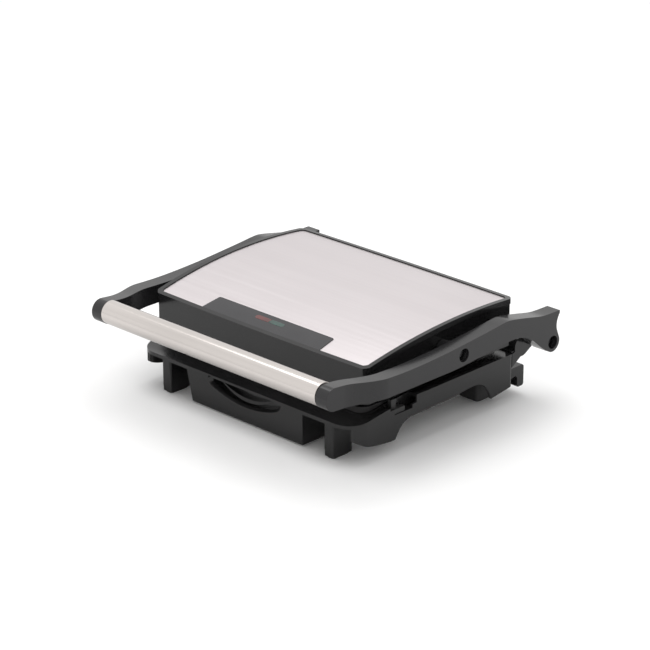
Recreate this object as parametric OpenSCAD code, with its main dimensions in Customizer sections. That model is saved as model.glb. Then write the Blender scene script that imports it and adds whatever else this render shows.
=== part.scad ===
// Contact grill (panini press): side-arm hinge, floating lid, slide-out drip tray.
// Units are millimetres, +Z is up, the table is z = 0 and -Y is the front.

/* [Base] */
// Width of the base housing across its side walls
base_w = 306; // [260:1:370]
// Depth of the base housing from the front lip to the rear wall
base_d = 241; // [205:1:290]
// How far the middle of the base sits behind the origin
base_offset = 4.5; // [0:0.5:10]
// Height of the side rim of the base above the table
rim_z = 52; // [50:0.5:60]
// Height of the ledge at the front of the base
ledge_z = 44; // [42:0.5:46]
// Radius of the two front corners of the base in plan
front_corner_r = 24; // [12:1:40]
// Radius of the two rear corners of the base in plan
rear_corner_r = 5; // [3.5:0.5:12]
// Wall thickness of the moulded base
wall = 3; // [2:0.5:4]
// Height of the lower edge of the side skirt between the feet
skirt_z = 31.5; // [28:0.5:36]
// Height of the lower edge of the skirt at its two ends
skirt_end_z = 13.5; // [10:0.5:20]
// Length of the low part of the skirt behind the front corner
skirt_front_len = 63; // [50:1:75]
// Length of the low part of the skirt in front of the rear wall
skirt_rear_len = 34; // [25:1:45]
// Distance between the outer side of a skirt and the outer side of a front foot
front_foot_inset = 31; // [26:1:40]
// Width of each front foot
front_foot_w = 11.5; // [9:0.5:16]
// Depth of each front foot
front_foot_d = 26; // [18:1:34]
// Distance between the outer side of a skirt and the outer side of a rear foot
rear_foot_inset = 20; // [16:1:30]
// Width of each rear foot
rear_foot_w = 28; // [20:1:36]
// Depth of each rear foot
rear_foot_d = 24; // [18:1:30]
// Thickness of the rubber pads under the feet
pad_t = 1.5; // [1:0.5:3]
// Diameter of the hole for the mains lead in its bush
cord_bore = 7.2; // [6:0.1:9]

/* [Drip tray] */
// Width of the drip tray at its bottom
tray_w = 158; // [120:1:170]
// Depth of the drip tray
tray_d = 84; // [60:1:100]
// Gap between the tray and the table
tray_gap = 2; // [1:0.5:4]
// How much each side of the tray leans out from bottom to top
tray_draft = 4; // [0:0.5:5]
// Wall thickness of the tray
tray_t = 2.4; // [1.5:0.1:3]
// Width of the finger recess in the tray front
recess_w = 102; // [84:1:110]
// Height of the finger recess below the top of the tray front
recess_h = 19; // [14:0.5:22]
// How deep the finger recess goes in
recess_deep = 11; // [8:0.5:14]
// Radius of the two ends of the finger recess
recess_end_r = 10; // [7:0.5:12]

/* [Grill plates] */
// Space between a grill plate and the side wall of the base
plate_margin = 14; // [13:0.5:20]
// Thickness of the slab of each grill plate
plate_t = 5; // [4:0.5:6]
// Height of the ribs on each grill plate
rib_h = 4; // [3:0.5:5]
// Width of each rib
rib_w = 5; // [4:0.5:6]
// Number of ribs on each grill plate
rib_count = 21; // [15:1:24]
// Space between the rib tips of the two plates when closed
plate_gap = 3.5; // [3:0.1:5]
// Diameter of the tube heaters
heater_dia = 6.5; // [5:0.5:7]

/* [Lid] */
// How much narrower each side of the lid is than the base
lid_inset = 3; // [2:0.5:6]
// How far the front of the lid sits behind the front lip
lid_setback = 23; // [18:1:28]
// How far the rear of the lid overhangs the rear wall of the base
lid_overhang = 1.5; // [0:0.5:3]
// Height of the crest of the lid above the table
lid_crest_z = 114.5; // [110:0.5:125]
// Radius of the arched lid top seen from the side
lid_top_r = 671; // [500:1:900]
// How far the crest lies behind the middle of the lid
lid_crest_back = 39; // [20:1:50]
// How far the four sides of the lid bow out in plan
lid_bow = 2; // [0.5:0.5:4]
// Radius of the lid corners in plan
lid_corner_r = 14; // [9:0.5:18]
// Width of the plastic rim around the metal skin
lid_rim = 5; // [3:0.5:6]
// Thickness of the metal skin
skin_t = 0.8; // [0.5:0.1:1.2]
// Width of the control cover at the front of the lid
cover_w = 168; // [120:1:190]
// Depth of the control cover
cover_d = 23; // [18:1:34]
// Length of the indicator window
window_w = 40; // [28:1:50]
// Width of the indicator window from front to back
window_d = 6; // [4:0.5:8]

/* [Arms and handle] */
// Thickness of each side arm along its straight part
arm_t = 17; // [14:0.5:20]
// Gap between the base side wall and the inner face of an arm
arm_gap = 9.5; // [8:0.5:14]
// How far the front end of each arm steps in towards the middle
arm_step = 13; // [6:0.5:13]
// Length over which the arm steps in
arm_step_len = 50; // [40:1:70]
// Diameter of the handle tube
handle_dia = 25; // [20.8:0.1:26]
// Wall thickness of the handle tube
handle_wall = 1.5; // [1:0.1:2]
// Height of the handle tube axis
handle_z = 93; // [90:0.5:98]
// How far the handle tube axis lies in front of the front lip
handle_reach = 37; // [30:1:50]
// Height of the arm hinge axis
hinge_z = 63; // [60:0.5:66]
// How far the arm hinge axis lies behind the rear wall
hinge_back = 30; // [26:0.5:34]
// Radius of the rounded arm tail around the hinge axis
tail_r = 10.5; // [9.5:0.5:12]
// Height of the lid pivot axis
pivot_z = 90; // [88:0.5:92]
// How far the lid pivot axis lies behind the middle of the lid
pivot_back = 0.5; // [-4:0.5:4]
// Diameter of the screw recesses in the arm sides
recess_dia = 14; // [12:0.5:15]
// Diameter of the hinge pins and the lid pivot pins
pin_dia = 8; // [6:0.1:9.6]

/* [Hidden] */
// round surfaces
$fn = 64;
// slack of a turning fit, on the radius
run_fit = 0.06;
// slack between fixed parts
fix_fit = 0.02;
// clear space left around sliding and seated parts
slip = 0.4;

base_x = base_w / 2;
lip_y = base_offset - base_d / 2;
back_y = base_offset + base_d / 2;
ledge_t = 4;
ledge_under = ledge_z - ledge_t;
cover_plate_z = skirt_z + 1.5;
cover_plate_t = 2.5;

plate_x = base_x - plate_margin;
plate_front = lip_y + lid_setback + 8;
plate_back = back_y - plate_margin + 7;
plate_mid = (plate_front + plate_back) / 2;
low_slab_top = rim_z - 2;
low_tip = low_slab_top + rib_h;
high_tip = low_tip + plate_gap;
high_slab = high_tip + rib_h;
rib_pitch = (2 * plate_x - 18) / rib_count;
rib_len = plate_back - plate_front - 18;
heater_z = low_slab_top - plate_t - heater_dia / 2 - 0.3;
high_heater_z = high_slab + plate_t + heater_dia / 2 + 0.3;

lid_x = base_x - lid_inset;
lid_front = lip_y + lid_setback;
lid_back = back_y + lid_overhang;
lid_mid = (lid_front + lid_back) / 2;
lid_len = lid_back - lid_front;
lid_bottom = high_slab - 0.5;
lid_wall = 2.8;
lid_side_in = 0.6;
rim_t = 4.5;
rim_proud = 1.1;
seam = 0.3;
top_y = lid_mid + lid_crest_back;
top_z = lid_crest_z - lid_top_r;

handle_y = lip_y - handle_reach;
handle_r = handle_dia / 2;
nose_r = handle_r - 0.4;
hinge_y = back_y + hinge_back;
arm_in = base_x + arm_gap;
arm_out = arm_in + arm_t;
front_out = arm_out - arm_step;
tube_x = front_out - 14.8;
tube_bore = handle_r - handle_wall;
arm_len = hinge_y - handle_y;
pivot_y = lid_mid + pivot_back;
pin_r = pin_dia / 2;
head_r = pin_r + 0.9;
recess_floor = arm_out - 10;
lug_x = base_x - 1;
lug_t = 13;
washer_t = 0.6;

tray_front = lip_y + 8;
tray_x = tray_w / 2;
tray_z = tray_gap;
tray_top = ledge_under - 1.5;
tray_body_top = skirt_z - 0.6;

notch_y = lip_y + 0.31 * base_d;
notch_len = 38;
notch_z = rim_z - 12;
notch_in = plate_x + slip + wall + 0.1;
lock_y = notch_y - notch_len / 2 + 6 + slip;
lock_len = 16;
lock_travel = 8;
lock_top = rim_z + 2.5;
keel_x = base_x - 6.5;
keel_w = 3;

// ---------- helpers ----------

// both sides of the press
module both_sides() {
    children();
    mirror([1, 0, 0]) children();
}

// an outline drawn as (y, z) pushed through from x = x0 to x = x1
module across(x0, x1) {
    translate([x0, 0, 0])
        rotate([90, 0, 90])
            linear_extrude(height = x1 - x0)
                children();
}

// a round bar along X from x0 to x1
module rod_x(r, x0, x1, y, z) {
    translate([x0, y, z])
        rotate([0, 90, 0])
            cylinder(r = r, h = x1 - x0);
}

// a plain box given by two corners
module box(a, b) {
    translate(a)
        cube([b[0] - a[0], b[1] - a[1], b[2] - a[2]]);
}

// rectangle with one radius at the front corners and one at the rear corners
module soft_rect(x, y0, y1, rf, rr) {
    translate([-x + rf, y0])
        square([2 * (x - rf), y1 - y0 - rr]);
    translate([-x, y0 + rf])
        square([2 * x, y1 - y0 - rf - rr]);
    translate([-x + rr, y1 - rr - 0.5])
        square([2 * (x - rr), rr + 0.5]);
    for (s = [-1, 1]) {
        translate([s * (x - rf), y0 + rf]) circle(r = rf, $fn = 96);
        translate([s * (x - rr), y1 - rr]) circle(r = rr);
    }
}

// rectangle whose four sides bow out, by b at the sides and a little less at the front and rear
module bowed_rect(x, y0, y1, b, r) {
    n = 8;
    c = b * 0.75;
    my = (y0 + y1) / 2;
    hy = (y1 - y0) / 2;
    function rise(k) = 1 - k * k / (n * n);
    intersection() {
        soft_rect(x + b, y0 - c, y1 + c, r, r);
        polygon(concat(
            [for (k = [-n:n - 1]) [x * k / n, y0 - c * rise(k)]],
            [for (k = [-n:n - 1]) [x + b * rise(k), my + hy * k / n]],
            [for (k = [-n:n - 1]) [-x * k / n, y1 + c * rise(k)]],
            [for (k = [-n:n - 1]) [-x - b * rise(k), my - hy * k / n]]));
    }
}

// smooth curve through a list of points, n steps between neighbours
function at(p, i) = p[min(max(i, 0), len(p) - 1)];
function blend(a, b, c, d, t) = 0.5 * (2 * b + (c - a) * t
    + (2 * a - 5 * b + 4 * c - d) * t * t + (3 * b - a - 3 * c + d) * t * t * t);
function smooth(p, n) = concat(
    [for (i = [0:len(p) - 2], k = [0:n - 1])
        blend(at(p, i - 1), at(p, i), at(p, i + 1), at(p, i + 2), k / n)],
    [p[len(p) - 1]]);

// ---------- base ----------

module base_outline(inset = 0) {
    soft_rect(base_x - inset, lip_y + inset, back_y - inset,
        front_corner_r - inset, rear_corner_r - inset);
}

// top edge of the base seen from the side, lowered by d
function base_top(d) = smooth([
    [lip_y - 2, ledge_z - d],
    [lip_y + 14, ledge_z - d],
    [lip_y + 52, rim_z - 3.4 - d],
    [lip_y + 88, rim_z - d],
    [lip_y + 110, rim_z - d]], 4);

// lower edge of the side skirt, from the rear wall to the front lip
function skirt_edge() = concat(
    [[back_y + 1, skirt_end_z + 3]],
    smooth([
        [back_y - skirt_rear_len, skirt_end_z - 1.5],
        [back_y - skirt_rear_len - 2, skirt_end_z + 4],
        [back_y - skirt_rear_len - 6, skirt_z - 7],
        [back_y - skirt_rear_len - 14, skirt_z],
        [back_y - skirt_rear_len - 24, skirt_z + 3],
        [back_y - skirt_rear_len - 42, skirt_z + 2.4],
        [back_y - skirt_rear_len - 54, skirt_z + 0.6]], 4),
    smooth([
        [lip_y + skirt_front_len + 32, skirt_z],
        [lip_y + skirt_front_len + 19, skirt_z - 0.8],
        [lip_y + skirt_front_len + 10, skirt_z - 5],
        [lip_y + skirt_front_len + 3.5, skirt_z - 12.5],
        [lip_y + skirt_front_len, skirt_end_z]], 4),
    smooth([
        [lip_y + skirt_front_len - 6, skirt_end_z - 0.1],
        [lip_y + skirt_front_len - 22, skirt_end_z + 1.6],
        [lip_y + skirt_front_len - 38, skirt_end_z + 4.6],
        [lip_y + skirt_front_len - 50, skirt_end_z + 10],
        [lip_y + skirt_front_len - 57, skirt_end_z + 15.5],
        [lip_y - 2, skirt_end_z + 22]], 3));

module base_side() {
    polygon(concat(base_top(0), [[back_y + 2, rim_z], [back_y + 1, rim_z]], skirt_edge()));
}

module base_hollow_side() {
    polygon(concat(base_top(wall), [[back_y + 2, rim_z - wall], [back_y + 2, -1], [lip_y - 2, -1]]));
}

module plate_outline(grow = 0) {
    soft_rect(plate_x + grow, plate_front - grow, plate_back + grow, 12 + grow, 12 + grow);
}

// the collar that carries the lower grill plate
module plate_collar() {
    intersection() {
        difference() {
            translate([0, 0, cover_plate_z + cover_plate_t + 0.5])
                linear_extrude(height = rim_z)
                    plate_outline(slip + wall);
            translate([0, 0, low_slab_top - plate_t - 0.1])
                linear_extrude(height = rim_z)
                    plate_outline(slip);
            translate([0, 0, -1])
                linear_extrude(height = rim_z)
                    plate_outline(-4);
        }
        across(-base_x, base_x) base_side();
    }
}

module front_foot() {
    x1 = base_x - front_foot_inset;
    x0 = x1 - front_foot_w;
    y0 = lip_y + 7.5;
    y1 = y0 + front_foot_d;
    r = front_foot_w / 2 - 1;
    top = cover_plate_z + cover_plate_t + 1;
    intersection() {
        translate([0, 0, pad_t])
            linear_extrude(height = ledge_z - pad_t - 1)
                soft_rect_at(x0 - 1.5, x1 + 1.5, y0 - 2, y1 + 1, r);
        rotate([90, 0, 0])
            translate([0, 0, -y1 - 2])
                linear_extrude(height = front_foot_d + 6)
                    polygon([[x0, 0], [x1, 0], [x1 + 1.5, ledge_z], [x0 - 1.5, ledge_z]]);
        across(x0 - 2, x1 + 2)
            polygon([[y0, 0], [y1, 0], [y1, top], [y0 + 18, top], [y0 + 18, ledge_z - 1],
                [y0 - 2, ledge_z - 1]]);
    }
}

// rounded rectangle between two x and two y values
module soft_rect_at(xa, xb, ya, yb, r) {
    translate([xa + r, ya]) square([xb - xa - 2 * r, yb - ya]);
    translate([xa, ya + r]) square([xb - xa, yb - ya - 2 * r]);
    for (x = [xa + r, xb - r], y = [ya + r, yb - r])
        translate([x, y]) circle(r = r, $fn = 40);
}

module hinge_lug() {
    a = [back_y + 14.5, hinge_z - 7];
    b = [hinge_y, hinge_z];
    ra = 11.5;
    rb = tail_r - 0.5;
    d = (b - a) / norm(b - a);
    n = [-d[1], d[0]];
    difference() {
        union() {
            across(lug_x - lug_t, lug_x) {
                translate(a) circle(r = ra);
                translate(b) circle(r = rb);
                polygon([a + ra * n, b + rb * n, b - rb * n, a - ra * n]);
                polygon([[back_y - 1, a[1] - 20], [a[0] - 2, a[1] - ra + 0.15], a,
                    [back_y - 1, rim_z - 1]]);
            }
        }
        rod_x(pin_r + run_fit, lug_x - lug_t - 1, lug_x + 1, hinge_y, hinge_z);
    }
}

// blocks on the rear wall that the press stands on when stored upright
module rear_block() {
    across(base_x - 33, base_x - 4)
        polygon([[back_y - 1, 33], [back_y - 1, 21], [back_y + 9, 23], [back_y + 11.5, 20],
            [back_y + 11.5, 11], [back_y + 13, 9.5], [back_y + 20, 9.5], [back_y + 21.5, 11],
            [back_y + 21.5, 31], [back_y + 19.5, 33]]);
}

// bridge between the hinge lugs that closes the gap behind the lid
module rear_bridge() {
    x = lug_x - 1;
    y0 = lid_back + 3;
    z0 = inlet_z() + inlet_flange_r() + slip;
    box([-x, back_y - 1, z0], [x, y0 + 1, z0 + wall]);
    box([-x, y0, z0], [x, y0 + 2.6, lid_bottom - 4]);
}

module notch_cut() {
    across(notch_in, base_x + 1)
        polygon([[notch_y - notch_len / 2, rim_z + 1], [notch_y - notch_len / 2, notch_z + 6],
            [notch_y - notch_len / 2 + 6, notch_z + 6], [notch_y - notch_len / 2 + 6, notch_z],
            [notch_y + notch_len / 2 - 6, notch_z], [notch_y + notch_len / 2 - 6, notch_z + 4],
            [notch_y + notch_len / 2, notch_z + 4], [notch_y + notch_len / 2, rim_z + 1]]);
}

// a closed shelf behind the notch, so the rim stays shut
module notch_floor() {
    y0 = notch_y - notch_len / 2 - 2;
    y1 = notch_y + notch_len / 2 + 2;
    difference() {
        box([notch_in - 1.5, y0, notch_z - 2], [base_x - 1, y1, notch_z]);
        // slot for the keel of the storage lock
        box([keel_x - keel_w / 2 - 0.1, lock_y + 3 - slip, notch_z - 3],
            [keel_x + keel_w / 2 + 0.1, lock_y + 11 + lock_travel + slip, notch_z + 1]);
    }
}

module front_clear() {
    x = base_x - wall - 2.5;
    box([-x, lip_y - 1, -1], [x, lip_y + wall + 6, ledge_under]);
    x2 = recess_w / 2 - 4;
    box([-x2, lip_y - 1, ledge_under - 1], [x2, lip_y + 2.2, ledge_under + 2.4]);
}

module base_shell() {
    difference() {
        intersection() {
            linear_extrude(height = rim_z + 1) base_outline();
            across(-base_x - 1, base_x + 1) base_side();
        }
        intersection() {
            translate([0, 0, -2]) linear_extrude(height = rim_z + 2) base_outline(wall);
            across(-base_x, base_x) base_hollow_side();
        }
        translate([0, 0, -1]) linear_extrude(height = rim_z + 3) plate_outline(slip);
        front_clear();
        notch_cut();
    }
}

module base_housing() {
    spout_y = plate_front + 8;
    color([0.13, 0.13, 0.135])
    difference() {
        union() {
            base_shell();
            plate_collar();
            notch_floor();
            both_sides() {
                front_foot();
                hinge_lug();
                rear_block();
            }
            rear_bridge();
            // front shelf that closes the heater space
            box([-plate_x - slip - 1, plate_front - slip - 1, cover_plate_z + cover_plate_t + 0.5],
                [plate_x + slip + 1, plate_front + 7, cover_plate_z + cover_plate_t + 3]);
            // posts for the bottom cover screws
            intersection() {
                for (p = cover_posts())
                    translate([p[0], p[1], cover_plate_z + cover_plate_t + 0.1])
                        cylinder(r = 4.5, h = rim_z);
                across(-base_x, base_x) base_side();
            }
        }
        translate([0, spout_y, 0]) cylinder(r = 7, h = low_slab_top);
        for (p = cover_posts())
            translate([p[0], p[1], cover_plate_z - 1])
                cylinder(r = 1.5 + fix_fit, h = 12);
        // cord inlet hole in the rear wall
        translate([inlet_x(), back_y - wall - 2, inlet_z()])
            rotate([-90, 0, 0])
                cylinder(r = 8 + fix_fit, h = wall + 4);
        box([inlet_x() - 14, plate_back + slip - 5, cover_plate_z + cover_plate_t],
            [inlet_x() + 14, plate_back + slip + wall + 0.4, low_slab_top - plate_t - 1]);
    }
}

function inlet_x() = 70;
function inlet_z() = rim_z - 12;
function inlet_flange_r() = 10;
function cover_posts() = [for (x = [-base_x + 8.5, base_x - 8.5], y = [lip_y + 48, back_y - 10]) [x, y]];

module bottom_cover() {
    spout_y = plate_front + 8;
    x = base_x - wall - slip;
    y0 = lip_y + 7.5 + front_foot_d + 0.5;
    y1 = back_y - wall - slip;
    color([0.16, 0.155, 0.15])
    difference() {
        union() {
            translate([0, 0, cover_plate_z])
                linear_extrude(height = cover_plate_t)
                    soft_rect(x, y0, y1, 3, 2);
            both_sides() {
                rear_foot();
                tray_rail(y0);
            }
        }
        translate([0, spout_y, 0]) cylinder(r = 7, h = ledge_z);
        for (p = cover_posts())
            translate([p[0], p[1], cover_plate_z - 1]) cylinder(r = 1.8, h = 6);
    }
}

module rear_foot() {
    x1 = base_x - rear_foot_inset;
    y1 = back_y - 7;
    translate([0, 0, pad_t])
        linear_extrude(height = cover_plate_z - pad_t + 1)
            soft_rect_at(x1 - rear_foot_w, x1, y1 - rear_foot_d, y1, 5);
}

// an L shaped rail that carries one flange of the drip tray
module tray_rail(y0) {
    x = tray_flange_x();
    y1 = tray_front + tray_d - 4;
    z = tray_body_top - 6;
    box([x + slip, y0 + 1, z], [x + slip + 2.5, y1, cover_plate_z + 0.5]);
    box([x - 2.6, y0 + 1, z], [x + slip + 2.5, y1, z + 2]);
}

function tray_side(z) = tray_x + tray_draft * (z - tray_z) / (tray_top - tray_z);
function tray_flange_x() = tray_side(tray_body_top) + 4;

module foot_pads() {
    color([0.09, 0.09, 0.09])
    both_sides() {
        x1 = base_x - front_foot_inset;
        linear_extrude(height = pad_t)
            soft_rect_at(x1 - front_foot_w + 0.8, x1 - 0.8, lip_y + 8.3,
                lip_y + 6.7 + front_foot_d, front_foot_w / 2 - 2);
        x2 = base_x - rear_foot_inset;
        linear_extrude(height = pad_t)
            soft_rect_at(x2 - rear_foot_w + 2, x2 - 2, back_y - 5 - rear_foot_d, back_y - 9, 4);
    }
}

module tray_solid(inset, floor_z) {
    h = tray_top - floor_z;
    y1 = tray_front + tray_d - inset;
    intersection() {
        rotate([90, 0, 0])
            translate([0, 0, -y1])
                linear_extrude(height = tray_d + 20)
                    polygon([[-tray_side(floor_z) + inset, floor_z], [tray_side(floor_z) - inset, floor_z],
                        [tray_side(tray_top) - inset, tray_top], [-tray_side(tray_top) + inset, tray_top]]);
        across(-tray_x - 20, tray_x + 20)
            polygon([[tray_front + inset, floor_z], [y1, floor_z], [y1, floor_z + h],
                [tray_front - tray_draft + inset, floor_z + h]]);
    }
}

module drip_tray() {
    block = 13;
    fx = tray_flange_x();
    color([0.12, 0.12, 0.12])
    difference() {
        union() {
            difference() {
                tray_solid(0, tray_z);
                box([-tray_x - 20, tray_front + block, tray_body_top],
                    [tray_x + 20, tray_front + tray_d + 1, ledge_z]);
            }
            both_sides()
                box([tray_side(tray_body_top) - 1.2, tray_front + block + 14, tray_body_top - 3.4],
                    [fx, tray_front + tray_d - 3, tray_body_top - 1.4]);
        }
        // inside of the tray
        difference() {
            tray_solid(tray_t, tray_z + tray_t);
            box([-tray_x - 20, tray_front - 20, 0], [tray_x + 20, tray_front + block, ledge_z]);
        }
        // pocket behind the front wall, left and right of the finger recess
        both_sides()
            box([recess_w / 2 + 4, tray_front + tray_t, tray_z + tray_t],
                [tray_x - tray_t, tray_front + block + 1, tray_top + 1]);
        finger_recess();
    }
    // inner lip that the fingertips pull on
    lip_bottom = tray_top - recess_h + 4;
    color([0.12, 0.12, 0.12])
    difference() {
        translate([0, tray_front - tray_draft + recess_deep - 5, lip_bottom + 60])
            rotate([-90, 0, 0])
                cylinder(r = 60, h = 6, $fn = 200);
        translate([0, tray_front - tray_draft - 1, lip_bottom + 4 + 80])
            rotate([-90, 0, 0])
                cylinder(r = 80, h = 30, $fn = 240);
    }
}

// wide recess with a shallow round bottom, tighter ends and a bevelled edge, open at the top
module finger_recess() {
    y0 = tray_front - tray_draft - 1;
    bevel = 2.5;
    r = recess_end_r;
    cx = recess_w / 2 - r;
    // the shallow arc of radius big, centred rise above the tray, meets the ends at x = meet
    rise = (cx * cx - (recess_h - r) * (recess_h - r)) / (2 * (recess_h - r));
    big = rise + recess_h;
    meet = big * cx / (big - r);
    both_sides()
        recess_round(cx, tray_top, r, bevel, y0);
    intersection() {
        recess_round(0, tray_top + rise, big, bevel, y0);
        box([-meet, y0 - 1, 0], [meet, y0 + recess_deep + 2, tray_top + 1]);
    }
}

// a round pocket along Y that opens with a bevel towards the front
module recess_round(x, z, r, bevel, y0) {
    translate([x, y0, z])
        rotate([-90, 0, 0]) {
            cylinder(r = r - 1.5, h = recess_deep + 1, $fn = 200);
            cylinder(r1 = r + bevel, r2 = r - 1.5, h = tray_draft + 2, $fn = 200);
        }
}

// a sliding storage lock in the notch of the right rim
module storage_lock() {
    y0 = lock_y;
    z0 = notch_z + 0.05;
    x0 = notch_in + 0.5;
    color([0.1, 0.1, 0.1])
    union() {
        box([x0, y0, z0], [base_x - 1.5, y0 + lock_len, z0 + 5]);
        // upright nose
        box([x0, y0, z0 + 4], [x0 + 4.8, y0 + 7, lock_top]);
        // keel and flange that hold the lock in its slot
        box([keel_x - keel_w / 2, y0 + 3, notch_z - 3], [keel_x + keel_w / 2, y0 + 11, z0 + 1]);
        box([keel_x - 3.2, y0 + 3, notch_z - 3.9], [keel_x + 3.2, y0 + 11, notch_z - 2.4]);
    }
}

// ---------- arms and handle ----------

function arm_y(f) = handle_y + f * arm_len;

// side outline of an arm, from the nose over the top to the tail and back underneath
module arm_side() {
    nz = handle_z - 1;
    hy = hinge_y;
    hz = hinge_z;
    top = smooth([
        [handle_y, nz + nose_r],
        [arm_y(0.07), nz + nose_r - 2.2],
        [arm_y(0.14), nz + nose_r - 4],
        [arm_y(0.3), nz + nose_r - 5.9],
        [arm_y(0.48), nz + nose_r - 4.2],
        [arm_y(0.67), nz + nose_r + 0.2],
        [arm_y(0.75), nz + nose_r + 2.5],
        [arm_y(0.79), nz + nose_r + 2.2],
        [arm_y(0.86), nz + nose_r - 2],
        [arm_y(0.93), nz + nose_r - 6.6],
        [arm_y(0.97), nz + nose_r - 7.9],
        [hy + 10, nz + nose_r - 8.4]], 5);
    back = smooth([
        [hy + 10, hz + 30],
        [hy + 7.6, hz + 26],
        [hy + 5.8, hz + 21],
        [hy + 5.6, hz + 15],
        [hy + 7.4, hz + 9.5],
        [hy + tail_r * cos(30), hz + tail_r * sin(30)]], 4);
    tail = [for (a = [20:-10:-130]) [hy + tail_r * cos(a), hz + tail_r * sin(a)]];
    under = smooth([
        [hy - 10.5, hz - 6.4],
        [hy - 20, hz + 1],
        [hy - 31, hz + 10.3],
        [hy - 43, hz + 17.5],
        [hy - 54, hz + 20.6],
        [hy - 68, hz + 21.2],
        [hy - 98, hz + 19],
        [hy - 145, hz + 15.4],
        [arm_y(0.4), nz - nose_r - 1.6],
        [arm_y(0.07), nz - nose_r - 1.3]], 4);
    nose = [for (a = [-90:-10:-270]) [handle_y + nose_r * cos(a), nz + nose_r * sin(a)]];
    polygon(concat(top, back, tail, under, nose));
}

// how far the arm has stepped out at a fraction t of the step
function ease(t) = t * t * (3 - 2 * t);
function step_edge(x, dx) = [for (k = [0:12])
    [x - dx * (1 - ease(k / 12)), lip_y - 25 + arm_step_len * k / 12]];

module arm_plan() {
    far = hinge_y + 30;
    outer = step_edge(arm_out, arm_step);
    inner = step_edge(arm_in, arm_in - tube_x);
    polygon(concat(
        [[tube_x, handle_y - 20], [front_out, handle_y - 20]],
        outer,
        [[arm_out, far], [arm_in, far]],
        [for (k = [12:-1:0]) inner[k]]));
}

module side_arm() {
    difference() {
        union() {
            intersection() {
                linear_extrude(height = lid_crest_z + 20) arm_plan();
                across(tube_x - 1, arm_out + 1) arm_side();
            }
            // spigot inside the handle tube
            rod_x(tube_bore - 2 * fix_fit, tube_x - 14, tube_x + 1, handle_y, handle_z);
            // hinge boss and lid pivot boss
            rod_x(tail_r - 0.5, lug_x + washer_t, arm_in + 1, hinge_y, hinge_z);
            rod_x(9, lid_x - lid_side_in + washer_t, arm_in + 1, pivot_y, pivot_z);
        }
        rod_x(3 + fix_fit, tube_x - 20, tube_x + 8, handle_y, handle_z);
        rod_x(recess_dia / 2, recess_floor, arm_out + 1, hinge_y, hinge_z);
        rod_x(recess_dia / 2, recess_floor, arm_out + 1, pivot_y, pivot_z);
        rod_x(pin_r + fix_fit, lug_x - 1, arm_out, hinge_y, hinge_z);
        rod_x(pin_r + fix_fit, lid_x - 10, arm_out, pivot_y, pivot_z);
    }
}

module arm_right() {
    color([0.15, 0.15, 0.155]) side_arm();
}

module arm_left() {
    color([0.15, 0.15, 0.155]) mirror([1, 0, 0]) side_arm();
}

module handle_tube() {
    color([0.82, 0.8, 0.78])
    difference() {
        rod_x(handle_r, -tube_x + 0.1, tube_x - 0.1, handle_y, handle_z);
        rod_x(tube_bore, -tube_x - 1, tube_x + 1, handle_y, handle_z);
    }
}

module handle_rod() {
    color([0.6, 0.6, 0.62])
        rod_x(3, -tube_x - 7.8, tube_x + 7.8, handle_y, handle_z);
}

// pin with a cross-slotted head, from the recess in the arm inwards to x = x0
module headed_pin(x0, y, z) {
    difference() {
        union() {
            rod_x(pin_r, x0, recess_floor + 1, y, z);
            rod_x(head_r, recess_floor + 0.02, recess_floor + 3, y, z);
        }
        box([recess_floor + 1.6, y - head_r * 0.6, z - 0.6], [recess_floor + 4, y + head_r * 0.6, z + 0.6]);
        box([recess_floor + 1.6, y - 0.6, z - head_r * 0.6], [recess_floor + 4, y + 0.6, z + head_r * 0.6]);
    }
}

module hinge_pins() {
    color([0.7, 0.7, 0.7])
        both_sides() headed_pin(lug_x - lug_t - 1.5, hinge_y, hinge_z);
}

module lid_pivot_pins() {
    color([0.7, 0.7, 0.7])
        both_sides() headed_pin(lid_x - lid_side_in - lid_wall - 9.5, pivot_y, pivot_z);
}

module hinge_washers() {
    color([0.85, 0.83, 0.78])
    both_sides() {
        difference() {
            rod_x(pin_r + 3, lug_x + 0.05, lug_x + washer_t - 0.02, hinge_y, hinge_z);
            rod_x(pin_r + fix_fit, lug_x - 1, lug_x + washer_t + 1, hinge_y, hinge_z);
        }
        difference() {
            rod_x(pin_r + 3, lid_x - lid_side_in + 0.05, lid_x - lid_side_in + washer_t - 0.02,
                pivot_y, pivot_z);
            rod_x(pin_r + fix_fit, lid_x - 10, lid_x + 2, pivot_y, pivot_z);
        }
    }
}

// ---------- lid ----------

// everything below the arched top, lowered by d
module under_arch(d) {
    rod_x(lid_top_r - d, -lid_x - 20, lid_x + 20, top_y, top_z, $fn = 720);
}

module lid_plan(inset, r) {
    bowed_rect(lid_x - inset, lid_front + inset, lid_back - inset, lid_bow, r);
}

module lid_prism(inset, r, z0) {
    translate([0, 0, z0])
        linear_extrude(height = lid_crest_z + 5 - z0)
            lid_plan(inset, r);
}

module body_plan(inset) {
    x = lid_x - lid_side_in - inset;
    intersection() {
        bowed_rect(x, lid_front + 0.4 + inset, lid_back - 0.4 - inset, lid_bow, lid_corner_r - inset);
        translate([-x, lid_front - 10]) square([2 * x, lid_len + 20]);
    }
}

module cover_plan(grow) {
    y1 = lid_front + lid_rim + cover_d;
    x = cover_w / 2;
    intersection() {
        soft_rect_at(-x - grow, x + grow, lid_front - 20, y1 + grow, 6);
        polygon([[-x - grow, lid_front - 5], [x + grow, lid_front - 5],
            [x - 3 + grow, y1 + grow + 0.1], [-x + 3 - grow, y1 + grow + 0.1]]);
    }
}

module window_plan(grow) {
    yw = lid_front + lid_rim + cover_d * 0.62;
    r = window_d / 2;
    translate([-window_w / 2 + r, yw - r - grow])
        square([window_w - 2 * r, window_d + 2 * grow]);
    for (s = [-1, 1])
        translate([s * (window_w / 2 - r), yw]) circle(r = r + grow, $fn = 40);
}

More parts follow.
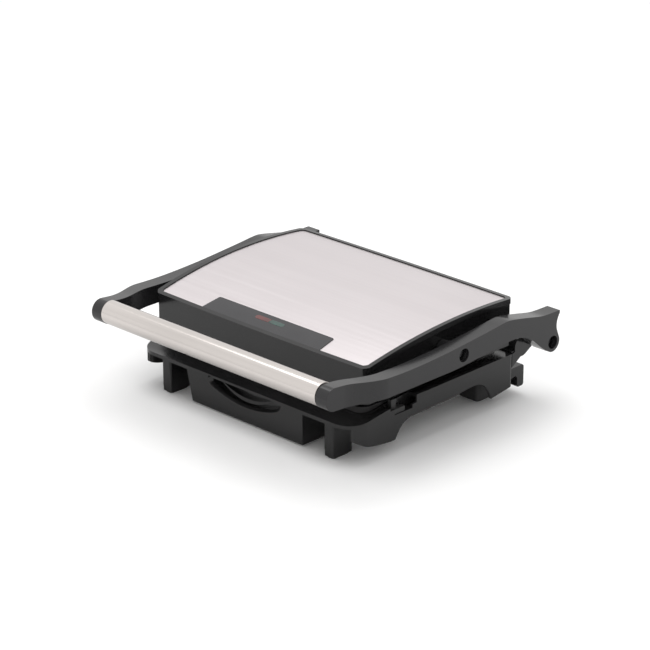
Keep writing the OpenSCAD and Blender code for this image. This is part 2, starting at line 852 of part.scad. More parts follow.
// where the lamp board sits under the window
function lamp_y() = lid_front + lid_rim + cover_d * 0.62;
function arch_z(y) = top_z + sqrt(lid_top_r * lid_top_r - (y - top_y) * (y - top_y));
function board_z() = arch_z(lamp_y()) - 15.8;
function board_x() = window_w / 2 + 4;

// points where screws hold the upper grill plate
function plate_posts() = [for (x = [-plate_x + 22, plate_x - 22],
    y = [plate_front + 22, plate_back - 22]) [x, y]];

module lid_housing() {
    color([0.12, 0.12, 0.125])
    difference() {
        union() {
            // rim
            intersection() {
                lid_prism(0, lid_corner_r, lid_bottom);
                under_arch(-rim_proud);
                difference() {
                    box([-lid_x - 10, lid_front - 10, lid_bottom],
                        [lid_x + 10, lid_back + 10, lid_crest_z + 5]);
                    under_arch(rim_t);
                }
            }
            // walls
            intersection() {
                translate([0, 0, lid_bottom])
                    linear_extrude(height = lid_crest_z - lid_bottom) body_plan(0);
                under_arch(rim_t - 0.6);
            }
        }
        difference() {
            intersection() {
                translate([0, 0, lid_bottom - 1])
                    linear_extrude(height = lid_crest_z - lid_bottom) body_plan(lid_wall);
                under_arch(skin_t + 2.4);
            }
            lid_inside();
        }
        // seat of the metal skin and of the control cover
        difference() {
            lid_prism(lid_rim, lid_corner_r - 3, lid_bottom);
            under_arch(skin_t);
        }
        difference() {
            intersection() {
                translate([0, 0, lid_bottom]) linear_extrude(height = 80) cover_plan(0.1);
                lid_prism(lid_rim + 0.05, lid_corner_r - 3.05, lid_bottom);
            }
            under_arch(2.6);
        }
        translate([0, 0, lid_bottom]) linear_extrude(height = 80) window_plan(0.3);
        for (p = plate_posts())
            translate([p[0], p[1], lid_bottom - 1])
                cylinder(r = 2 + fix_fit, h = 14 + high_slab + plate_t - lid_bottom);
        both_sides()
            rod_x(pin_r + run_fit, lid_x - 30, lid_x + 1, pivot_y, pivot_z);
    }
}

// bosses and posts inside the lid
module lid_inside() {
    both_sides()
        rod_x(9, lid_x - lid_side_in - lid_wall - 8, lid_x - lid_side_in, pivot_y, pivot_z);
    for (p = plate_posts())
        translate([p[0], p[1], high_slab + plate_t + 0.1])
            cylinder(r = 5, h = 80);
    for (s = [-1, 1])
        translate([s * board_x(), lamp_y(), board_z() + 1.6 + fix_fit])
            cylinder(r = 2.5, h = 80);
    difference() {
        translate([0, 0, lid_bottom]) linear_extrude(height = 80) cover_plan(4);
        under_arch(5.2);
    }
}

module top_skin() {
    color([0.85, 0.83, 0.82])
    difference() {
        intersection() {
            lid_prism(lid_rim + seam, lid_corner_r - 3 - seam, lid_bottom);
            under_arch(0);
        }
        under_arch(skin_t - 0.02);
        translate([0, 0, lid_bottom]) linear_extrude(height = 80) cover_plan(0.1);
    }
}

module control_cover() {
    color([0.36, 0.35, 0.37])
    difference() {
        intersection() {
            translate([0, 0, lid_bottom]) linear_extrude(height = 80) cover_plan(0);
            lid_prism(lid_rim + seam, lid_corner_r - 3 - seam, lid_bottom);
            under_arch(-0.6);
        }
        under_arch(2.58);
        translate([0, 0, lid_bottom]) linear_extrude(height = 80) window_plan(0);
    }
}

module lens(side) {
    difference() {
        intersection() {
            translate([0, 0, lid_bottom]) linear_extrude(height = 80) window_plan(-fix_fit);
            under_arch(-0.8);
            box([side < 0 ? -window_w : 0.05, lid_front, lid_bottom],
                [side < 0 ? -0.05 : window_w, lid_back, lid_crest_z + 2]);
        }
        under_arch(5);
    }
}

module lens_red() {
    color([0.5, 0.1, 0.08]) lens(-1);
}

module lens_green() {
    color([0.1, 0.4, 0.3]) lens(1);
}

// two neon lamps on a small board under the window
module indicator_lamps() {
    z = board_z();
    color([0.7, 0.65, 0.5])
    union() {
        box([-board_x() - 3, lamp_y() - 6, z], [board_x() + 3, lamp_y() + 6, z + 1.6]);
        both_sides() {
            translate([10, lamp_y(), z + 1]) cylinder(r = 2.4, h = 6);
            translate([10, lamp_y(), z + 7]) sphere(r = 2.4);
        }
    }
}

// ---------- grill plates and heating ----------

// grill plate lying ribs up with its slab top at z = 0
module grill_plate(spout) {
    border = 3.5;
    difference() {
        union() {
            translate([0, 0, -plate_t])
                linear_extrude(height = plate_t)
                    plate_outline(0);
            difference() {
                translate([0, 0, -0.5]) linear_extrude(height = rib_h * 0.5 + 0.5) plate_outline(0);
                translate([0, 0, -1]) linear_extrude(height = rib_h + 2) plate_outline(-border);
            }
            for (k = [0:rib_count - 1])
                translate([-plate_x + 9 + rib_pitch * (k + 0.5), plate_mid, 0])
                    rib();
        }
        if (spout)
            translate([0, plate_front + 8, -plate_t - 1]) cylinder(r = 3.6, h = plate_t + 3);
    }
    if (spout)
        translate([0, plate_front + 8, -plate_t - 9])
            difference() {
                cylinder(r = 5.6, h = 9.2);
                translate([0, 0, -1]) cylinder(r = 3.6, h = 12);
            }
}

// one tapered rib with rounded ends
module rib() {
    h = rib_len / 2;
    r = rib_w / 2;
    intersection() {
        union() {
            translate([-r, -h + r, -0.5]) cube([rib_w, 2 * (h - r), rib_h + 0.5]);
            for (s = [-1, 1])
                translate([0, s * (h - r), -0.5]) cylinder(r = r, h = rib_h + 0.5, $fn = 24);
        }
        translate([0, h + 1, 0])
            rotate([90, 0, 0])
                linear_extrude(height = 2 * h + 2)
                    polygon([[-r - 0.1, -1], [r + 0.1, -1], [r - 0.9, rib_h], [-r + 0.9, rib_h]]);
    }
}

// U shaped tube heater with two cold ends, centred on the plate
module u_heater(z) {
    leg = (plate_back - plate_front) * 0.22;
    run = plate_x * 0.55;
    r = heater_dia / 2;
    for (s = [-1, 1]) {
        rod_x(r, -run, run, plate_mid + s * leg, z);
        rod_x(1.6, -run - 14, -run + 1, plate_mid + s * leg, z);
    }
    translate([run, plate_mid, z])
        rotate([0, 0, -90])
            rotate_extrude(angle = 180)
                translate([leg, 0]) circle(r = r, $fn = 32);
}

module reflector() {
    linear_extrude(height = 0.6)
        difference() {
            soft_rect(plate_x - 14, plate_front + 14.5, plate_back - 14, 8, 8);
            for (p = plate_posts())
                translate(p) circle(r = 6);
        }
}

// thermostat: round capsule, square body, adjusting stem and two tags
module thermostat(y) {
    translate([-20, y, 0]) {
        translate([-9, -8, 0.02]) cube([18, 16, 3.4]);
        translate([0, 0, 3]) cylinder(r = 6.5, h = 2.8);
        for (s = [-1, 1])
            translate([s * 12 - 4, -2.5, 1]) cube([8, 5, 0.8]);
    }
    // thermal fuse in its sleeve
    rod_x(1.7, 14, 44, y, 1.75);
}

module lower_grill_plate() {
    color([0.2, 0.2, 0.2])
        translate([0, 0, low_slab_top]) grill_plate(true);
}

module upper_grill_plate() {
    color([0.2, 0.2, 0.2])
    difference() {
        translate([0, 0, high_slab]) mirror([0, 0, 1]) grill_plate(false);
        for (p = plate_posts())
            translate([p[0], p[1], high_slab + 2.5]) cylinder(r = 2 + fix_fit, h = plate_t);
    }
}

module lower_heater() {
    color([0.45, 0.42, 0.4]) u_heater(heater_z);
}

module upper_heater() {
    color([0.45, 0.42, 0.4]) u_heater(high_heater_z);
}

function low_reflector_z() = cover_plate_z + cover_plate_t + 0.6;
function high_reflector_z() = high_heater_z + heater_dia / 2 + 1;

module lower_reflector() {
    color([0.75, 0.75, 0.75])
        translate([0, 0, low_reflector_z()]) reflector();
}

module upper_reflector() {
    color([0.75, 0.75, 0.75])
        translate([0, 0, high_reflector_z()]) reflector();
}

module lower_thermostat() {
    color([0.55, 0.5, 0.42])
        translate([0, 0, low_reflector_z() + 0.62]) thermostat(plate_mid);
}

module upper_thermostat() {
    color([0.55, 0.5, 0.42])
        translate([0, 0, high_reflector_z() + 0.62]) thermostat(plate_mid);
}

// ceramic block where the mains lead is joined
module terminal_block() {
    z = cover_plate_z + cover_plate_t + 0.02;
    color([0.9, 0.88, 0.82])
    difference() {
        box([inlet_x() - 50, plate_back - 13, z], [inlet_x() - 20, plate_back - 5, z + 9]);
        for (k = [0:2])
            translate([inlet_x() - 45 + 10 * k, plate_back - 9, z + 2]) cylinder(r = 2, h = 10, $fn = 24);
    }
}

// bush that lines the hole for the mains lead
module cord_inlet() {
    color([0.1, 0.1, 0.1])
    translate([inlet_x(), back_y, inlet_z()])
        rotate([90, 0, 0])
            difference() {
                union() {
                    translate([0, 0, -4]) cylinder(r = inlet_flange_r(), h = 3.98);
                    translate([0, 0, -1]) cylinder(r = 8, h = wall + 1.2);
                }
                translate([0, 0, -5]) cylinder(r = cord_bore / 2, h = wall + 10);
                // the barrel inside the wall is wider than the land that holds the lead
                translate([0, 0, -0.02]) cylinder(r = cord_bore / 2 + 1.4, h = wall + 10);
            }
}

module cover_screws() {
    color([0.7, 0.7, 0.72])
    for (p = cover_posts())
        translate([p[0], p[1], cover_plate_z]) {
            translate([0, 0, -1.6])
                difference() {
                    cylinder(r = 3.2, h = 1.58);
                    translate([-2, -0.4, -0.1]) cube([4, 0.8, 0.8]);
                    translate([-0.4, -2, -0.1]) cube([0.8, 4, 0.8]);
                }
            translate([0, 0, -0.1]) cylinder(r = 1.5, h = 10);
        }
}

module plate_screws() {
    color([0.7, 0.7, 0.72])
    for (p = plate_posts())
        translate([p[0], p[1], high_slab + 2.6]) cylinder(r = 2, h = 12);
}

// ---------- assembly ----------

base_housing();
bottom_cover();
foot_pads();
drip_tray();
lower_grill_plate();
lower_heater();
lower_reflector();
lower_thermostat();
terminal_block();
cord_inlet();
cover_screws();
storage_lock();
arm_right();
arm_left();
handle_tube();
handle_rod();
hinge_pins();
lid_pivot_pins();
hinge_washers();
lid_housing();
top_skin();
control_cover();
lens_red();
lens_green();
indicator_lamps();
upper_grill_plate();
upper_heater();
upper_reflector();
upper_thermostat();
plate_screws();
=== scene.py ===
"""Looks of a contact grill: moulded plastics, brushed steel, coated plates, studio and camera."""
import math

import bpy
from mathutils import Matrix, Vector

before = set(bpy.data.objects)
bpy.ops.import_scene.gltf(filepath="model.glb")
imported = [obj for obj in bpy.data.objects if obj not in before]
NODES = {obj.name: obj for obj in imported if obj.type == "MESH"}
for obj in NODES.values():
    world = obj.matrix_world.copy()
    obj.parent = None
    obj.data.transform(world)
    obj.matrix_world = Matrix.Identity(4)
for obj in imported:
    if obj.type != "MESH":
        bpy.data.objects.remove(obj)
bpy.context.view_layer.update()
MM = 0.001
PLASTIC_IOR = 1.48


# ---------- node helpers ----------

class Tree:
    """A thin wrapper that adds and joins shader nodes."""

    def __init__(self, tree):
        self.tree = tree

    def add(self, kind, **values):
        node = self.tree.nodes.new(kind)
        for key, value in values.items():
            setattr(node, key, value)
        return node

    def join(self, source, target):
        self.tree.links.new(source, target)

    def math(self, operation, a, b=None, clamp=False):
        node = self.add("ShaderNodeMath", operation=operation, use_clamp=clamp)
        for socket, value in zip(node.inputs, (a, b)):
            if value is None:
                continue
            if isinstance(value, (int, float)):
                socket.default_value = value
            else:
                self.join(value, socket)
        return node.outputs[0]

    def noise(self, vector, scale, detail=3.0, roughness=0.5):
        node = self.add("ShaderNodeTexNoise")
        node.inputs["Scale"].default_value = scale
        node.inputs["Detail"].default_value = detail
        node.inputs["Roughness"].default_value = roughness
        self.join(vector, node.inputs["Vector"])
        return node.outputs["Fac"]

    def remap(self, value, low, high, to_low=0.0, to_high=1.0):
        node = self.add("ShaderNodeMapRange", clamp=True)
        node.inputs["From Min"].default_value = low
        node.inputs["From Max"].default_value = high
        node.inputs["To Min"].default_value = to_low
        node.inputs["To Max"].default_value = to_high
        self.join(value, node.inputs["Value"])
        return node.outputs["Result"]

    def stretch(self, vector, x, y, z):
        node = self.add("ShaderNodeMapping")
        node.inputs["Scale"].default_value = (x, y, z)
        self.join(vector, node.inputs["Vector"])
        return node.outputs["Vector"]


def new_group(name, inputs, outputs):
    """A shader group with float inputs (name, default) and float outputs (name)."""
    group = bpy.data.node_groups.new(name, "ShaderNodeTree")
    for label, default in inputs:
        socket = group.interface.new_socket(label, in_out="INPUT", socket_type="NodeSocketFloat")
        socket.default_value = default
    for label in outputs:
        group.interface.new_socket(label, in_out="OUTPUT", socket_type="NodeSocketFloat")
    tree = Tree(group)
    return group, tree, tree.add("NodeGroupInput"), tree.add("NodeGroupOutput")


def build_moulded_grain():
    """Spark-eroded skin of a moulding: fine pimples over slow waviness."""
    group, t, given, out = new_group(
        "moulded_grain", [("Size", 900.0), ("Waviness", 0.4)], ["Height", "Mottle"])
    place = t.add("ShaderNodeTexCoord").outputs["Object"]
    fine = t.add("ShaderNodeTexNoise")
    fine.inputs["Detail"].default_value = 2.0
    t.join(place, fine.inputs["Vector"])
    t.join(given.outputs["Size"], fine.inputs["Scale"])
    slow = t.noise(place, 22.0, 3.0, 0.55)
    waves = t.math("MULTIPLY", slow, given.outputs["Waviness"])
    t.join(t.math("ADD", fine.outputs["Fac"], waves), out.inputs["Height"])
    t.join(t.remap(t.noise(place, 9.0, 4.0, 0.6), 0.3, 0.7), out.inputs["Mottle"])
    return group


def build_brushed_lines():
    """Fine parallel scratches along X."""
    group, t, given, out = new_group(
        "brushed_lines", [("Fineness", 1.0)], ["Height", "Streak", "Cloud"])
    place = t.add("ShaderNodeTexCoord").outputs["Object"]
    scaled = t.add("ShaderNodeVectorMath", operation="SCALE")
    t.join(t.stretch(place, 9.0, 2600.0, 2600.0), scaled.inputs[0])
    t.join(given.outputs["Fineness"], scaled.inputs["Scale"])
    lines = t.noise(scaled.outputs["Vector"], 1.0, 3.0, 0.6)
    long = t.noise(t.stretch(place, 2.0, 240.0, 240.0), 1.0, 2.0, 0.5)
    t.join(lines, out.inputs["Height"])
    t.join(t.remap(t.math("ADD", lines, long), 0.7, 1.3), out.inputs["Streak"])
    t.join(t.remap(t.noise(place, 6.0, 3.0, 0.5), 0.3, 0.7), out.inputs["Cloud"])
    return group


def build_settled_dust():
    """Where dust lies: faces that look up, broken up by noise."""
    group, t, given, out = new_group("settled_dust", [("Amount", 0.3)], ["Dust"])
    geometry = t.add("ShaderNodeNewGeometry")
    split = t.add("ShaderNodeSeparateXYZ")
    t.join(geometry.outputs["Normal"], split.inputs[0])
    up = t.remap(split.outputs["Z"], 0.3, 1.0)
    place = t.add("ShaderNodeTexCoord").outputs["Object"]
    patch = t.remap(t.noise(place, 45.0, 6.0, 0.7), 0.42, 0.75)
    lying = t.math("MULTIPLY", up, patch)
    t.join(t.math("MULTIPLY", lying, given.outputs["Amount"]), out.inputs["Dust"])
    return group


def build_handling_marks():
    """Faint scratches and finger-polished patches on touched surfaces."""
    group, t, given, out = new_group("handling_marks", [("Amount", 0.5)], ["Marks"])
    place = t.add("ShaderNodeTexCoord").outputs["Object"]
    bent = t.add("ShaderNodeTexNoise")
    bent.inputs["Scale"].default_value = 7.0
    t.join(place, bent.inputs["Vector"])
    mixed = t.add("ShaderNodeVectorMath", operation="ADD")
    t.join(t.stretch(place, 14.0, 60.0, 60.0), mixed.inputs[0])
    t.join(bent.outputs["Color"], mixed.inputs[1])
    hairs = t.add("ShaderNodeTexVoronoi", feature="DISTANCE_TO_EDGE")
    hairs.inputs["Scale"].default_value = 1.4
    t.join(mixed.outputs["Vector"], hairs.inputs["Vector"])
    thin = t.remap(hairs.outputs["Distance"], 0.0, 0.02, 1.0, 0.0)
    where = t.remap(t.noise(place, 12.0, 2.0, 0.5), 0.5, 0.68)
    scratched = t.math("MULTIPLY", thin, where)
    t.join(t.math("MULTIPLY", scratched, given.outputs["Amount"]), out.inputs["Marks"])
    return group


GROUPS = {
    "grain": build_moulded_grain(),
    "brushed": build_brushed_lines(),
    "dust": build_settled_dust(),
    "marks": build_handling_marks(),
}


def place_group(t, name, **values):
    node = t.add("ShaderNodeGroup")
    node.node_tree = GROUPS[name]
    for label, value in values.items():
        node.inputs[label].default_value = value
    return node


def mix_colour(t, factor, a, b):
    node = t.add("ShaderNodeMix", data_type="RGBA")
    node.inputs["A"].default_value = (*a, 1.0)
    node.inputs["B"].default_value = (*b, 1.0)
    t.join(factor, node.inputs["Factor"])
    return node.outputs["Result"]


def mix_over(t, factor, base, b):
    node = t.add("ShaderNodeMix", data_type="RGBA")
    t.join(base, node.inputs["A"])
    node.inputs["B"].default_value = (*b, 1.0)
    t.join(factor, node.inputs["Factor"])
    return node.outputs["Result"]


def bump(t, height, depth):
    node = t.add("ShaderNodeBump")
    node.inputs["Strength"].default_value = 1.0
    node.inputs["Distance"].default_value = depth
    t.join(height, node.inputs["Height"])
    return node.outputs["Normal"]


def new_material(name):
    material = bpy.data.materials.new(name)
    material.use_nodes = True
    t = Tree(material.node_tree)
    return material, t, material.node_tree.nodes["Principled BSDF"]


# ---------- materials ----------

def moulded_plastic(name, dark, light, rough, rough_span=0.06, size=900.0, depth=0.00001,
                    waviness=0.4, dust=0.25, marks=0.4, dust_colour=(0.1, 0.1, 0.1)):
    """Injection moulded plastic: mottled colour, pimpled skin, dust above and faint marks."""
    material, t, shader = new_material(name)
    grain = place_group(t, "grain", Size=size, Waviness=waviness)
    colour = mix_colour(t, grain.outputs["Mottle"], dark, light)
    dusty = place_group(t, "dust", Amount=dust)
    worn = place_group(t, "marks", Amount=marks)
    colour = mix_over(t, dusty.outputs["Dust"], colour, dust_colour)
    t.join(colour, shader.inputs["Base Color"])
    base_rough = t.remap(grain.outputs["Mottle"], 0.0, 1.0, rough - rough_span, rough + rough_span)
    rougher = t.math("ADD", base_rough, t.math("MULTIPLY", dusty.outputs["Dust"], 0.3))
    t.join(t.math("ADD", rougher, t.math("MULTIPLY", worn.outputs["Marks"], 0.12), clamp=True),
           shader.inputs["Roughness"])
    scored = t.math("MULTIPLY", worn.outputs["Marks"], 0.5)
    height = t.math("SUBTRACT", grain.outputs["Height"], scored)
    t.join(bump(t, height, depth), shader.inputs["Normal"])
    shader.inputs["IOR"].default_value = PLASTIC_IOR
    return material


def brushed_metal(name, dull, bright, rough, rough_span=0.03, fineness=1.0, depth=0.0000015,
                  marks=0.15):
    """Sheet or tube brushed along X."""
    material, t, shader = new_material(name)
    brushed = place_group(t, "brushed", Fineness=fineness)
    worn = place_group(t, "marks", Amount=marks)
    both = t.math("ADD", brushed.outputs["Streak"], brushed.outputs["Cloud"])
    tone = t.math("MULTIPLY", both, 0.5)
    t.join(mix_colour(t, tone, dull, bright), shader.inputs["Base Color"])
    base_rough = t.remap(brushed.outputs["Streak"], 0.0, 1.0,
                         rough - rough_span, rough + rough_span)
    t.join(t.math("ADD", base_rough, t.math("MULTIPLY", worn.outputs["Marks"], 0.1), clamp=True),
           shader.inputs["Roughness"])
    t.join(bump(t, brushed.outputs["Height"], depth), shader.inputs["Normal"])
    shader.inputs["Metallic"].default_value = 1.0
    return material


def plain_metal(name, dull, bright, rough, depth=0.000006, size=1400.0, marks=0.5):
    """Rolled, plated or cast metal with a fine random grain."""
    material, t, shader = new_material(name)
    grain = place_group(t, "grain", Size=size, Waviness=0.8)
    worn = place_group(t, "marks", Amount=marks)
    t.join(mix_colour(t, grain.outputs["Mottle"], dull, bright), shader.inputs["Base Color"])
    base_rough = t.remap(grain.outputs["Mottle"], 0.0, 1.0, rough - 0.07, rough + 0.07)
    t.join(t.math("ADD", base_rough, t.math("MULTIPLY", worn.outputs["Marks"], 0.15), clamp=True),
           shader.inputs["Roughness"])
    t.join(bump(t, grain.outputs["Height"], depth), shader.inputs["Normal"])
    shader.inputs["Metallic"].default_value = 1.0
    return material


def coated_aluminium(name):
    """Cast aluminium under a dark speckled non-stick coating."""
    material, t, shader = new_material(name)
    place = t.add("ShaderNodeTexCoord").outputs["Object"]
    specks = t.add("ShaderNodeTexVoronoi")
    specks.inputs["Scale"].default_value = 420.0
    t.join(place, specks.inputs["Vector"])
    fleck = t.remap(specks.outputs["Distance"], 0.0, 0.22, 1.0, 0.0)
    chosen = t.math("MULTIPLY", fleck, t.remap(t.noise(place, 260.0, 1.0), 0.55, 0.62))
    grain = place_group(t, "grain", Size=1100.0, Waviness=0.6)
    colour = mix_colour(t, grain.outputs["Mottle"], (0.014, 0.014, 0.015), (0.024, 0.023, 0.024))
    t.join(mix_over(t, chosen, colour, (0.12, 0.12, 0.125)), shader.inputs["Base Color"])
    t.join(t.remap(grain.outputs["Mottle"], 0.0, 1.0, 0.34, 0.46), shader.inputs["Roughness"])
    t.join(bump(t, grain.outputs["Height"], 0.000025), shader.inputs["Normal"])
    return material


def lens_plastic(name, deep, pale):
    """Moulded translucent lens whose rib bands carry a painted glow of its own paler colour."""
    material, t, shader = new_material(name)
    place = t.add("ShaderNodeTexCoord").outputs["Object"]
    ribs = t.add("ShaderNodeTexWave", wave_type="BANDS", bands_direction="X")
    ribs.inputs["Scale"].default_value = 260.0
    ribs.inputs["Distortion"].default_value = 0.3
    t.join(place, ribs.inputs["Vector"])
    cloud = t.remap(t.noise(place, 120.0, 3.0), 0.3, 0.7)
    colour = mix_colour(t, cloud, deep, pale)
    # painted glow: the rib bands are mixed towards the pale colour
    lit = t.math("MULTIPLY", ribs.outputs["Fac"], 0.25)
    t.join(mix_over(t, lit, colour, pale), shader.inputs["Base Color"])
    t.join(t.remap(cloud, 0.0, 1.0, 0.1, 0.2), shader.inputs["Roughness"])
    t.join(bump(t, ribs.outputs["Fac"], 0.00002), shader.inputs["Normal"])
    shader.inputs["Coat Weight"].default_value = 0.5
    shader.inputs["Coat Roughness"].default_value = 0.05
    return material


def lamp_material(name):
    """Neon lamps on a pale board."""
    material, t, shader = new_material(name)
    grain = place_group(t, "grain", Size=600.0, Waviness=0.5)
    t.join(mix_colour(t, grain.outputs["Mottle"], (0.5, 0.36, 0.16), (0.66, 0.52, 0.28)),
           shader.inputs["Base Color"])
    t.join(t.remap(grain.outputs["Mottle"], 0.0, 1.0, 0.3, 0.5), shader.inputs["Roughness"])
    t.join(bump(t, grain.outputs["Height"], 0.00001), shader.inputs["Normal"])
    return material


BLACK = moulded_plastic("gloss_black_moulding",
                        (0.0095, 0.0095, 0.01), (0.0125, 0.0123, 0.0125), 0.17,
                        rough_span=0.03, dust=0.05, marks=0.25)
ARM = moulded_plastic("arm_moulding", (0.012, 0.012, 0.0128), (0.0155, 0.015, 0.016), 0.18,
                      rough_span=0.03, dust=0.05, marks=0.25)
COVER = moulded_plastic("control_cover_moulding",
                        (0.026, 0.0255, 0.028), (0.033, 0.032, 0.035), 0.18,
                        rough_span=0.03, size=1500.0, depth=0.000004, dust=0.04, marks=0.2)
UNDERSIDE = moulded_plastic("matt_underside_moulding",
                            (0.016, 0.016, 0.016), (0.03, 0.03, 0.03), 0.5,
                            size=700.0, depth=0.00003, dust=0.1)
RUBBER = moulded_plastic("foot_rubber", (0.012, 0.012, 0.012), (0.03, 0.03, 0.029), 0.72,
                         size=500.0, depth=0.00004, dust=0.4)
SKIN = brushed_metal("brushed_steel_skin", (0.665, 0.62, 0.63), (0.72, 0.675, 0.685), 0.34)
TUBE = brushed_metal("brushed_handle_steel", (0.62, 0.58, 0.555), (0.74, 0.695, 0.665), 0.2,
                     fineness=1.4)
PLATE = coated_aluminium("coated_grill_plate")
HEATER = plain_metal("oxidised_heater_tube", (0.18, 0.15, 0.13), (0.36, 0.32, 0.29), 0.5)
REFLECTOR = brushed_metal("bright_reflector_sheet", (0.74, 0.74, 0.75), (0.84, 0.84, 0.85), 0.3,
                          fineness=0.6)
CONTROL = plain_metal("plated_control_body", (0.45, 0.4, 0.32), (0.62, 0.57, 0.48), 0.35)
CERAMIC = moulded_plastic("glazed_ceramic", (0.72, 0.7, 0.65), (0.85, 0.83, 0.79), 0.3,
                          dust=0.1, dust_colour=(0.5, 0.48, 0.44))
SCREW = plain_metal("zinc_plated_steel", (0.5, 0.5, 0.51), (0.66, 0.66, 0.68), 0.3)
PIN = plain_metal("pin_steel", (0.24, 0.24, 0.25), (0.34, 0.34, 0.35), 0.32)
NYLON = moulded_plastic("natural_nylon", (0.62, 0.6, 0.53), (0.76, 0.74, 0.67), 0.45,
                        dust=0.1, dust_colour=(0.4, 0.38, 0.34))
RED = lens_plastic("red_lens", (0.05, 0.005, 0.004), (0.12, 0.012, 0.01))
GREEN = lens_plastic("green_lens", (0.006, 0.026, 0.02), (0.015, 0.07, 0.055))
LAMP = lamp_material("neon_lamps")

FINISH = {
    "base_housing": BLACK, "bottom_cover": UNDERSIDE, "foot_pads": RUBBER, "drip_tray": BLACK,
    "lower_grill_plate": PLATE, "lower_heater": HEATER, "lower_reflector": REFLECTOR,
    "lower_thermostat": CONTROL, "terminal_block": CERAMIC, "cord_inlet": UNDERSIDE,
    "cover_screws": SCREW, "storage_lock": UNDERSIDE, "arm_right": ARM, "arm_left": ARM,
    "handle_tube": TUBE, "handle_rod": SCREW, "hinge_pins": PIN, "lid_pivot_pins": PIN,
    "hinge_washers": NYLON, "lid_housing": BLACK, "top_skin": SKIN, "control_cover": COVER,
    "lens_red": RED, "lens_green": GREEN, "indicator_lamps": LAMP, "upper_grill_plate": PLATE,
    "upper_heater": HEATER, "upper_reflector": REFLECTOR, "upper_thermostat": CONTROL,
    "plate_screws": SCREW,
}

# edge radius of each rounded CAD node, in millimetres
EDGE = {
    "base_housing": 1.2, "bottom_cover": 0.8, "drip_tray": 1.3, "arm_right": 1.8, "arm_left": 1.8,
    "lid_housing": 1.9, "control_cover": 0.5, "storage_lock": 0.4, "handle_tube": 0.4,
    "top_skin": 0.25, "lower_grill_plate": 0.6, "upper_grill_plate": 0.6, "lens_red": 0.4,
    "lens_green": 0.4, "cord_inlet": 0.5, "foot_pads": 0.3,
}


WELD_REACH = 0.000005
FLAT_WITHIN = math.radians(0.3)
SHARP_FROM = math.radians(32)


def soften(node, radius):
    """Rounds a CAD node's edges with modifiers and leaves its own mesh alone."""
    thing = NODES[node]
    weld = thing.modifiers.new("weld", "WELD")
    weld.merge_threshold = WELD_REACH
    merge = thing.modifiers.new("merge_flat", "DECIMATE")
    merge.decimate_type = "DISSOLVE"
    merge.angle_limit = FLAT_WITHIN
    edge = thing.modifiers.new("round_edges", "BEVEL")
    edge.width = radius * MM
    edge.segments = 3
    edge.limit_method = "ANGLE"
    edge.angle_limit = SHARP_FROM
    edge.harden_normals = False
    edge.use_clamp_overlap = True


def dress(node):
    thing = NODES[node]
    thing.data.materials.clear()
    thing.data.materials.append(FINISH[node])
    for face in thing.data.polygons:
        face.use_smooth = True
    if node in EDGE:
        soften(node, EDGE[node])
    smooth = thing.modifiers.new("even_normals", "WEIGHTED_NORMAL")
    smooth.keep_sharp = True
    smooth.weight = 100


for node_name in NODES:
    dress(node_name)


# ---------- studio ----------

FLOOR_REACH = 9.0
# painted shade: glossy rays see the floor colour darkened within the first radius and nearly as it
# is beyond the second
PAINTED_SHADE_RADIUS, PAINTED_SHADE_FADE_RADIUS = 0.18, 0.5
PAINTED_SHADE_NEAR_SHARE, PAINTED_SHADE_FAR_SHARE = 0.4, 0.1
ROOM_STRENGTH = 0.95
CAMERA_PLACE = (1.783, -1.837, 1.117)
CAMERA_DIP = 22.117
CAMERA_HEADING = 44.058
CAMERA_LENS = 149.34
SENSOR_WIDTH = 36.0
SOFTBOX_PLACE = (-0.3, 0.2, 1.8)
SOFTBOX_SIZE = (1.6, 1.6)
SOFTBOX_POWER = 16.0


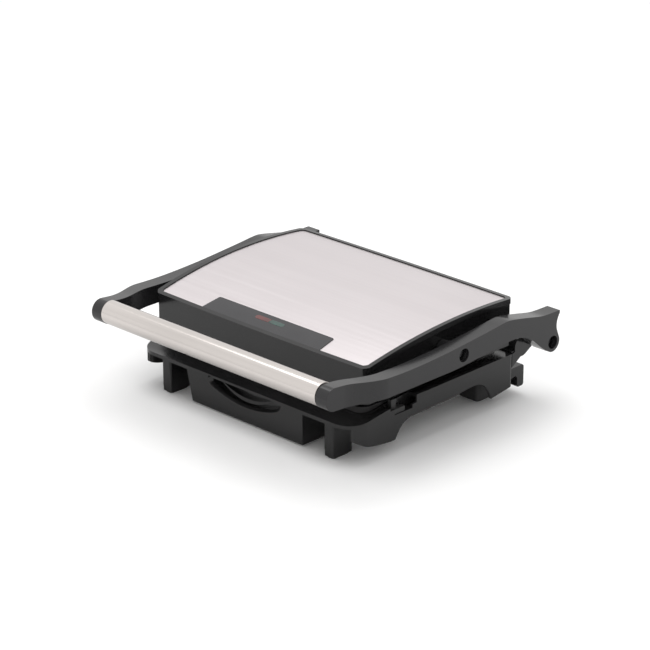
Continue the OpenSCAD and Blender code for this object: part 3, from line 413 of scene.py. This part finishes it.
def build_floor():
    mesh = bpy.data.meshes.new("studio_floor")
    r = FLOOR_REACH
    mesh.from_pydata([(-r, -r, 0), (r, -r, 0), (r, r, 0), (-r, r, 0)], [], [(0, 1, 2, 3)])
    floor = bpy.data.objects.new("studio_floor", mesh)
    bpy.context.scene.collection.objects.link(floor)
    material, t, shader = new_material("pale_floor")
    grain = place_group(t, "grain", Size=60.0, Waviness=1.0)
    pale = mix_colour(t, grain.outputs["Mottle"], (0.895, 0.895, 0.895), (0.905, 0.905, 0.905))
    # painted shade: close to the press the floor colour is darkened for glossy rays only, so the
    # black mouldings mirror a painted shadow there
    reach = t.add("ShaderNodeVectorMath", operation="LENGTH")
    t.join(t.add("ShaderNodeTexCoord").outputs["Object"], reach.inputs[0])
    painted_shade_fade = t.remap(reach.outputs["Value"], PAINTED_SHADE_RADIUS, PAINTED_SHADE_FADE_RADIUS,
                   PAINTED_SHADE_NEAR_SHARE, PAINTED_SHADE_FAR_SHARE)
    painted_shade_in_reflections = t.math("MULTIPLY", t.add("ShaderNodeLightPath").outputs["Is Glossy Ray"], painted_shade_fade)
    t.join(mix_over(t, painted_shade_in_reflections, pale, (0.1, 0.1, 0.1)), shader.inputs["Base Color"])
    t.join(t.remap(grain.outputs["Mottle"], 0.0, 1.0, 0.6, 0.75), shader.inputs["Roughness"])
    mesh.materials.append(material)


def add_softbox(name, place, size, power, target=(0.0, 0.0, 0.05)):
    light = bpy.data.lights.new(name, "AREA")
    light.shape = "RECTANGLE"
    light.size, light.size_y = size
    light.energy = power
    lamp = bpy.data.objects.new(name, light)
    lamp.location = place
    lamp.rotation_euler = (Vector(target) - Vector(place)).to_track_quat("-Z", "Y").to_euler()
    bpy.context.scene.collection.objects.link(lamp)


def build_world():
    world = bpy.data.worlds.new("studio_room")
    world.use_nodes = True
    background = world.node_tree.nodes["Background"]
    background.inputs["Color"].default_value = (1.0, 0.995, 0.99, 1.0)
    background.inputs["Strength"].default_value = ROOM_STRENGTH
    bpy.context.scene.world = world


def build_camera():
    data = bpy.data.cameras.new("studio_camera")
    data.lens = CAMERA_LENS
    data.sensor_width = SENSOR_WIDTH
    data.clip_end = 50.0
    camera = bpy.data.objects.new("studio_camera", data)
    camera.location = CAMERA_PLACE
    camera.rotation_euler = (math.radians(90 - CAMERA_DIP), 0.0, math.radians(CAMERA_HEADING))
    bpy.context.scene.collection.objects.link(camera)
    bpy.context.scene.camera = camera


build_floor()
build_world()
build_camera()
add_softbox("overhead_softbox", SOFTBOX_PLACE, SOFTBOX_SIZE, SOFTBOX_POWER)
bpy.context.scene.view_settings.view_transform = "Standard"
bpy.context.scene.view_settings.look = "None"
